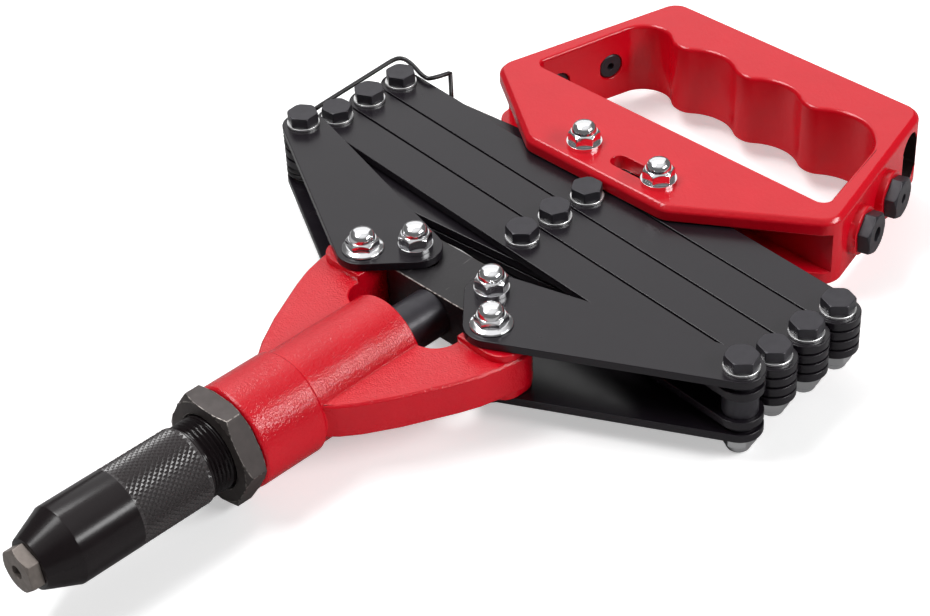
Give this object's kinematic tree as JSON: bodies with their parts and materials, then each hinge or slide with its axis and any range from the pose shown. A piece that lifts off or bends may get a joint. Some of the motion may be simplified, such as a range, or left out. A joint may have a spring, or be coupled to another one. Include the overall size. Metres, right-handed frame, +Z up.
{
  "type": "lazy tong riveter",
  "caption": "Scissor-linkage blind rivet tool with a cast head, screwed nose sleeve, cranked pull bar and a finger-grooved handle, folded",
  "frame": {"origin": "centre of the mouth of the nosepiece, on the tool's axis", "axes": "+X runs back along the tool from the nosepiece to the handle, +Y is the tool's left side, +Z is up as the tool lies flat"},
  "size_m": [0.3521, 0.2225, 0.0427],
  "materials": {
    "red_coat": "semi-gloss powder coat with fine orange peel on a casting",
    "plate_black": "smooth semi-gloss black coating on sheet steel",
    "black_oxide": "glossy black oxide on turned steel, with a diamond knurl",
    "dark_steel": "satin dark oxide with bright worn corners",
    "nosepiece_steel": "dull dark oxide",
    "forged_black": "semi-gloss black, slightly rough with fine scratches",
    "jaw_steel": "hardened and ground",
    "spring_steel": "drawn spring wire",
    "wire_black": "black coated spring wire",
    "bolt_black": "black oxide",
    "chrome_nut": "bright chrome",
    "zinc": "bright zinc"
  },
  "bodies": {
    "head": {"head_casting": "red_coat", "nose_sleeve": "black_oxide", "lock_nut": "dark_steel", "nosepiece": "nosepiece_steel", "head_pivot_bolts": "bolt_black", "head_pivot_nuts": "chrome_nut"},
    "drawbar": {"drawbar": "forged_black", "crosshead": "forged_black", "jaw_case": "forged_black"},
    "jaw_set": {"jaws": "jaw_steel", "jaw_pusher": "jaw_steel", "jaw_spring": "spring_steel"},
    "left_crank": {"left_crank_top": "plate_black", "left_crank_bottom": "plate_black", "left_crosshead_bolt": "bolt_black", "left_crosshead_nut": "chrome_nut", "left_end_bolt": "bolt_black", "left_end_washers": "zinc", "left_end_nut": "chrome_nut"},
    "right_crank": {"right_crank_top": "plate_black", "right_crank_bottom": "plate_black", "right_crosshead_bolt": "bolt_black", "right_crosshead_nut": "chrome_nut", "right_end_bolt": "bolt_black", "right_end_washers": "zinc", "right_end_nut": "chrome_nut"},
    "latch": {"latch_wire": "wire_black"},
    "inner_1": {"inner_links_1": "plate_black"},
    "outer_1": {"outer_links_1": "plate_black", "outer_1_pin_sleeve": "zinc", "outer_1_bolts": "bolt_black", "outer_1_washers": "zinc", "outer_1_nuts": "chrome_nut"},
    "inner_2": {"inner_links_2": "plate_black"},
    "outer_2": {"outer_links_2": "plate_black", "outer_2_bolts": "bolt_black", "outer_2_washers": "zinc", "outer_2_nuts": "chrome_nut"},
    "inner_3": {"inner_links_3": "plate_black"},
    "outer_3": {"outer_links_3": "plate_black", "outer_3_bolts": "bolt_black", "outer_3_washers": "zinc", "outer_3_nuts": "chrome_nut"},
    "inner_4": {"inner_links_4": "plate_black", "slot_bolt": "bolt_black", "slot_nut": "chrome_nut"},
    "outer_4": {"outer_links_4": "plate_black", "outer_4_bolt": "bolt_black", "outer_4_washers": "zinc", "outer_4_nut": "chrome_nut", "centre_rivet": "zinc"},
    "handle": {"handle_casting": "red_coat", "handle_pivot_bolt": "bolt_black", "handle_pivot_nut": "chrome_nut", "spare_nosepieces": "nosepiece_steel"}
  },
  "joints": [
    {"name": "left_crank_turn", "type": "hinge", "parent": "head", "child": "left_crank", "pos_m": [0.1643, 0.0302, 0], "axis": [0, 0, -1], "range_deg": [0, 47.86]},
    {"name": "right_crank_turn", "type": "hinge", "parent": "head", "child": "right_crank", "pos_m": [0.1643, -0.0302, 0], "axis": [0, 0, 1], "range_deg": [0, 47.91]},
    {"name": "drawbar_slide", "type": "slide", "parent": "head", "child": "drawbar", "axis": [-1, 0, 0], "range_m": [0, 0.01329]},
    {"name": "inner_1_turn", "type": "hinge", "parent": "left_crank", "child": "inner_1", "pos_m": [0.201, 0.102, 0], "axis": [0, 0, 1], "range_deg": [0, 103.51]},
    {"name": "outer_1_turn", "type": "hinge", "parent": "inner_1", "child": "outer_1", "pos_m": [0.20895, 0, 0], "axis": [0, 0, -1], "range_deg": [0, 111.19]},
    {"name": "inner_2_turn", "type": "hinge", "parent": "outer_1", "child": "inner_2", "pos_m": [0.2169, 0.102, 0], "axis": [0, 0, 1], "range_deg": [0, 111.19]},
    {"name": "outer_2_turn", "type": "hinge", "parent": "inner_2", "child": "outer_2", "pos_m": [0.22485, 0, 0], "axis": [0, 0, -1], "range_deg": [0, 111.19]},
    {"name": "inner_3_turn", "type": "hinge", "parent": "outer_2", "child": "inner_3", "pos_m": [0.2328, 0.102, 0], "axis": [0, 0, 1], "range_deg": [0, 111.19]},
    {"name": "outer_3_turn", "type": "hinge", "parent": "inner_3", "child": "outer_3", "pos_m": [0.24075, 0, 0], "axis": [0, 0, -1], "range_deg": [0, 111.19]},
    {"name": "inner_4_turn", "type": "hinge", "parent": "outer_3", "child": "inner_4", "pos_m": [0.2487, 0.102, 0], "axis": [0, 0, 1], "range_deg": [0, 111.19]},
    {"name": "outer_4_turn", "type": "hinge", "parent": "inner_4", "child": "outer_4", "pos_m": [0.25665, 0, 0], "axis": [0, 0, -1], "range_deg": [0, 111.19]},
    {"name": "handle_turn", "type": "hinge", "parent": "outer_4", "child": "handle", "pos_m": [0.258, 0.01735, 0], "axis": [0, 0, 1], "range_deg": [0, 55.64]},
    {"name": "jaw_slide", "type": "slide", "parent": "drawbar", "child": "jaw_set", "axis": [1, 0, 0], "range_m": [0, 0.0016], "stiffness_N_per_m": 400, "springref_m": -0.004, "deforming": ["jaw_spring"]},
    {"name": "latch_swing", "type": "hinge", "parent": "left_crank", "child": "latch", "pos_m": [0.201, 0.102, 0], "axis": [0, 0, 1], "range_deg": [0, 60], "deforming": ["latch_wire"]}
  ],
  "couplings": [
    {"joint": "right_crank_turn", "follows": "left_crank_turn", "ratio": 1},
    {"joint": "drawbar_slide", "follows": "left_crank_turn", "m_per_rad": 0.015887},
    {"joint": "inner_1_turn", "follows": "left_crank_turn", "ratio": 2.1604},
    {"joint": "outer_1_turn", "follows": "left_crank_turn", "ratio": 2.3209},
    {"joint": "inner_2_turn", "follows": "left_crank_turn", "ratio": 2.3209},
    {"joint": "outer_2_turn", "follows": "left_crank_turn", "ratio": 2.3209},
    {"joint": "inner_3_turn", "follows": "left_crank_turn", "ratio": 2.3209},
    {"joint": "outer_3_turn", "follows": "left_crank_turn", "ratio": 2.3209},
    {"joint": "inner_4_turn", "follows": "left_crank_turn", "ratio": 2.3209},
    {"joint": "outer_4_turn", "follows": "left_crank_turn", "ratio": 2.3209},
    {"joint": "handle_turn", "follows": "left_crank_turn", "ratio": 1.1604}
  ]
}
